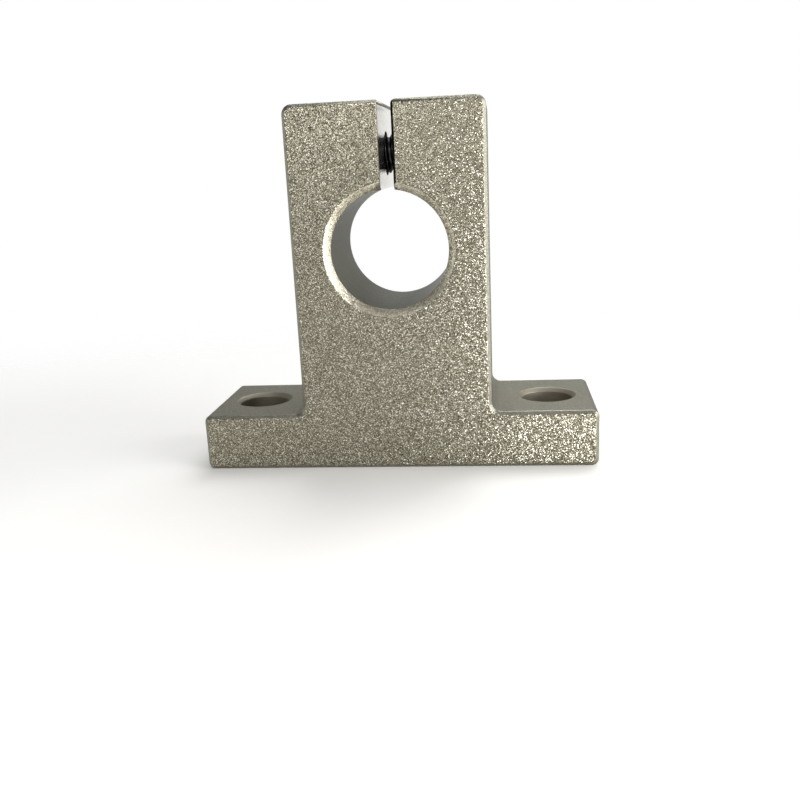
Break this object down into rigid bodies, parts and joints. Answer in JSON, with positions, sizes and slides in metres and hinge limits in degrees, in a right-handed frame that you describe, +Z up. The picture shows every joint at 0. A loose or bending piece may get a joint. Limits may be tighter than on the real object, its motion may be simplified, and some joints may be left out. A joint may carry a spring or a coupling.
{
  "type": "shaft support block",
  "caption": "Split clamp block on a flanged base that holds the end of a round linear shaft above a mounting surface; a cross screw closes its slot on the shaft.",
  "frame": {"origin": "centre of the mounting face, midway between the mounting holes", "axes": "+X along the base, +Y along the shaft bore, +Z up from the mounting face to the clamp slot"},
  "size_m": [0.042, 0.014, 0.0375],
  "materials": {
    "blasted_aluminium": "bead blasted and clear anodised",
    "black_steel": "black oxide"
  },
  "bodies": {
    "block": {"support_block": "blasted_aluminium"},
    "screw": {"clamp_screw": "black_steel"}
  },
  "joints": [
    {"name": "clamp_screw_turn", "type": "hinge", "parent": "block", "child": "screw", "pos_m": [0, 0, 0.0325], "axis": [-1, 0, 0], "range_deg": [0, 450]}
  ]
}
